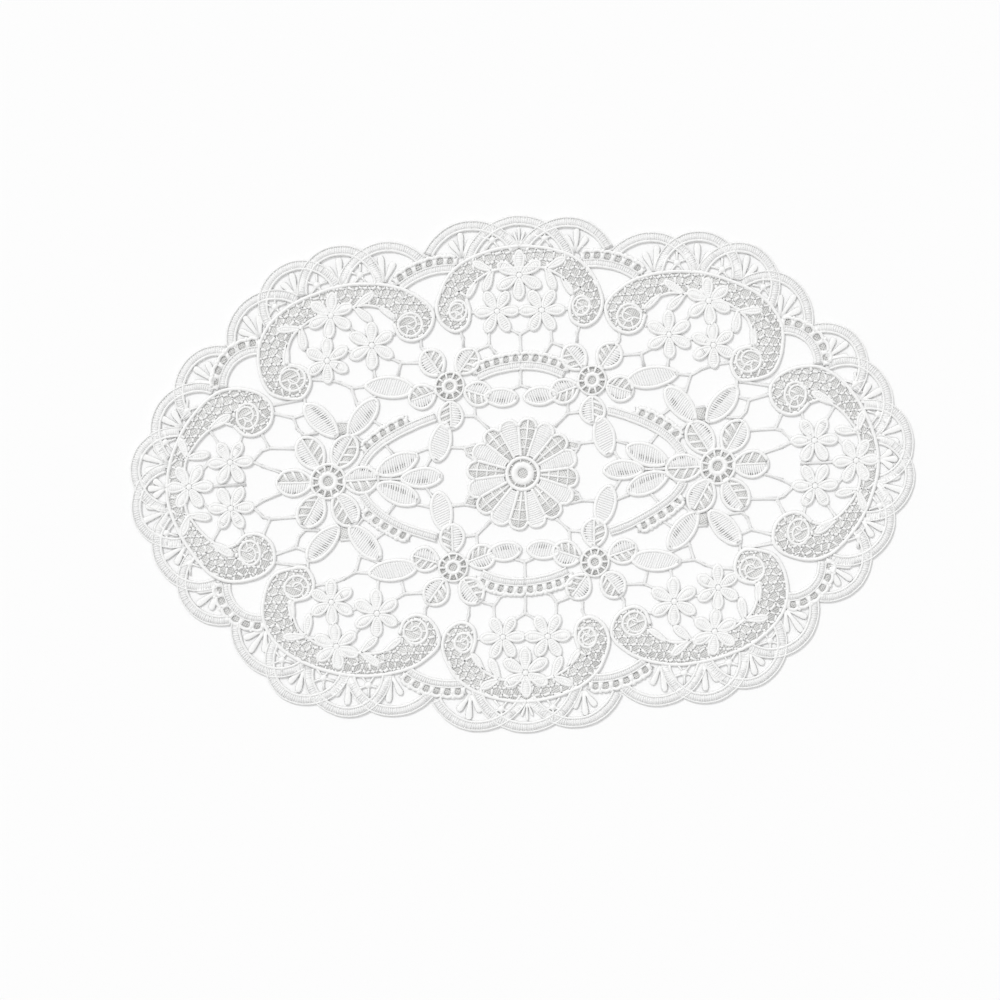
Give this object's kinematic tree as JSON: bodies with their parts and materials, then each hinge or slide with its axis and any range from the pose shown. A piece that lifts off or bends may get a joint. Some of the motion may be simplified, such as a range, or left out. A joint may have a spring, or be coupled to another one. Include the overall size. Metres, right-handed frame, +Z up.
{
  "type": "lace placemat",
  "caption": "Oval white guipure lace placemat with a scalloped edge, lying flat: a central rosette, flowers, leaves and net-filled scrolls joined by open bars.",
  "frame": {"origin": "on the table, under the centre of the mat", "axes": "+X along the mat's length, +Y across it, +Z up out of the table"},
  "size_m": [0.453, 0.2978, 0.002],
  "materials": {
    "white_lace": "matt white polyester embroidery thread"
  },
  "bodies": {
    "root": {"lace_mat": "white_lace"}
  },
  "joints": []
}
